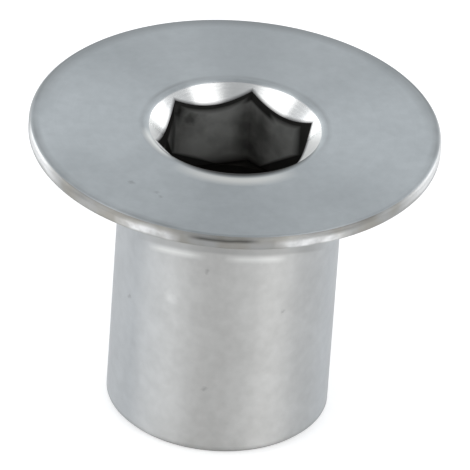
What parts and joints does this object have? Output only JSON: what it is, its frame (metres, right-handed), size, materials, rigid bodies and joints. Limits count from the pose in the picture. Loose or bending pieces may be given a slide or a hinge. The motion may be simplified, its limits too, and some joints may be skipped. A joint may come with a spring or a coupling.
{
  "type": "barrel nut",
  "caption": "Round flat-headed barrel nut: wide thin head with a countersunk hexagon key socket, smooth barrel, internally threaded from its open end.",
  "frame": {"origin": "middle of the barrel's open end, on the plane that the nut stands on", "axes": "+Z along the axis of the barrel and the thread, up to the head; +X towards one corner of the hexagon socket"},
  "size_m": [0.0148, 0.0146, 0.0114],
  "materials": {
    "turned_stainless": "turned and tumbled stainless steel, fine rings on the face, satin barrel, darker inside the key socket"
  },
  "bodies": {
    "root": {"barrel_nut": "turned_stainless"}
  },
  "joints": []
}
